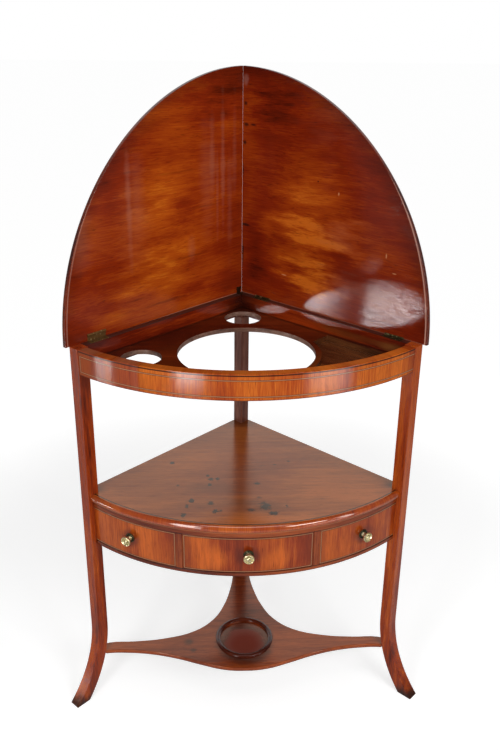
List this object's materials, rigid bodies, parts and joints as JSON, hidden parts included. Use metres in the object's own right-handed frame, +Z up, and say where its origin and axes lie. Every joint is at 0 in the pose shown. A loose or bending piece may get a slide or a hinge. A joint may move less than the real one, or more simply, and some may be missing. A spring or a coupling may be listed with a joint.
{
  "type": "corner washstand",
  "caption": "Bow-fronted wooden corner washstand on splayed legs, with a basin hole, cup holes, a soap tray, a shelf, a drawer, an undertier and a hinged folding lid.",
  "frame": {"origin": "middle of the back post's foot, on the floor in the wall corner", "axes": "+Z up, -Y out of the corner through the middle of the bow, +X to the right as seen from the room"},
  "size_m": [0.7384, 0.4699, 1.2615],
  "materials": {
    "mahogany": "polished red-brown wood",
    "veneered_front": "polished orange-red veneer",
    "drawer_lining_oak": "plain unpolished oak",
    "old_brass": "worn polished brass"
  },
  "bodies": {
    "stand": {"back_post": "mahogany", "front_leg_left": "mahogany", "front_leg_right": "mahogany", "gallery_left": "mahogany", "gallery_right": "mahogany", "basin_board": "mahogany", "soap_tray": "mahogany", "board_bearer_left": "mahogany", "board_bearer_right": "mahogany", "board_bearer_front": "mahogany", "middle_shelf": "mahogany", "tier_rail_left": "mahogany", "tier_rail_right": "mahogany", "tier_top_rail": "mahogany", "tier_bottom_rail": "mahogany", "stile_left": "mahogany", "stile_right": "mahogany", "undertier": "mahogany", "undertier_ring": "mahogany", "bow_frieze": "veneered_front", "false_front_left": "veneered_front", "false_front_right": "veneered_front", "rear_bearer": "drawer_lining_oak", "runner_left": "drawer_lining_oak", "runner_right": "drawer_lining_oak", "guide_left": "drawer_lining_oak", "guide_right": "drawer_lining_oak", "drawer_stop_left": "drawer_lining_oak", "drawer_stop_right": "drawer_lining_oak", "knob_left": "old_brass", "knob_right": "old_brass", "rose_left": "old_brass", "rose_right": "old_brass", "right_inner_hinge_fixed": "old_brass", "right_inner_hinge_pin": "old_brass", "right_outer_hinge_fixed": "old_brass", "right_outer_hinge_pin": "old_brass", "left_corner_hinge_fixed": "old_brass", "left_corner_hinge_pin": "old_brass", "left_outer_hinge_fixed": "old_brass", "left_outer_hinge_pin": "old_brass"},
    "drawer": {"drawer_front": "veneered_front", "drawer_side_left": "drawer_lining_oak", "drawer_side_right": "drawer_lining_oak", "drawer_back": "drawer_lining_oak", "drawer_bottom": "drawer_lining_oak", "knob_centre": "old_brass", "rose_centre": "old_brass"},
    "left_leaf": {"leaf_left": "veneered_front", "left_corner_hinge_moving": "old_brass", "left_outer_hinge_moving": "old_brass"},
    "right_leaf": {"leaf_right": "veneered_front", "right_inner_hinge_moving": "old_brass", "right_outer_hinge_moving": "old_brass"}
  },
  "joints": [
    {"name": "right_leaf_hinge", "type": "hinge", "parent": "stand", "child": "right_leaf", "pos_m": [0.17536, -0.16122, 0.7955], "axis": [0.7071, -0.7071, 0], "range_deg": [0, 90]},
    {"name": "left_leaf_hinge", "type": "hinge", "parent": "stand", "child": "left_leaf", "pos_m": [-0.17536, -0.16122, 0.806], "axis": [0.7071, 0.7071, 0], "range_deg": [0, 90]},
    {"name": "drawer_slide", "type": "slide", "parent": "stand", "child": "drawer", "axis": [0, -1, 0], "range_m": [0, 0.19]}
  ]
}
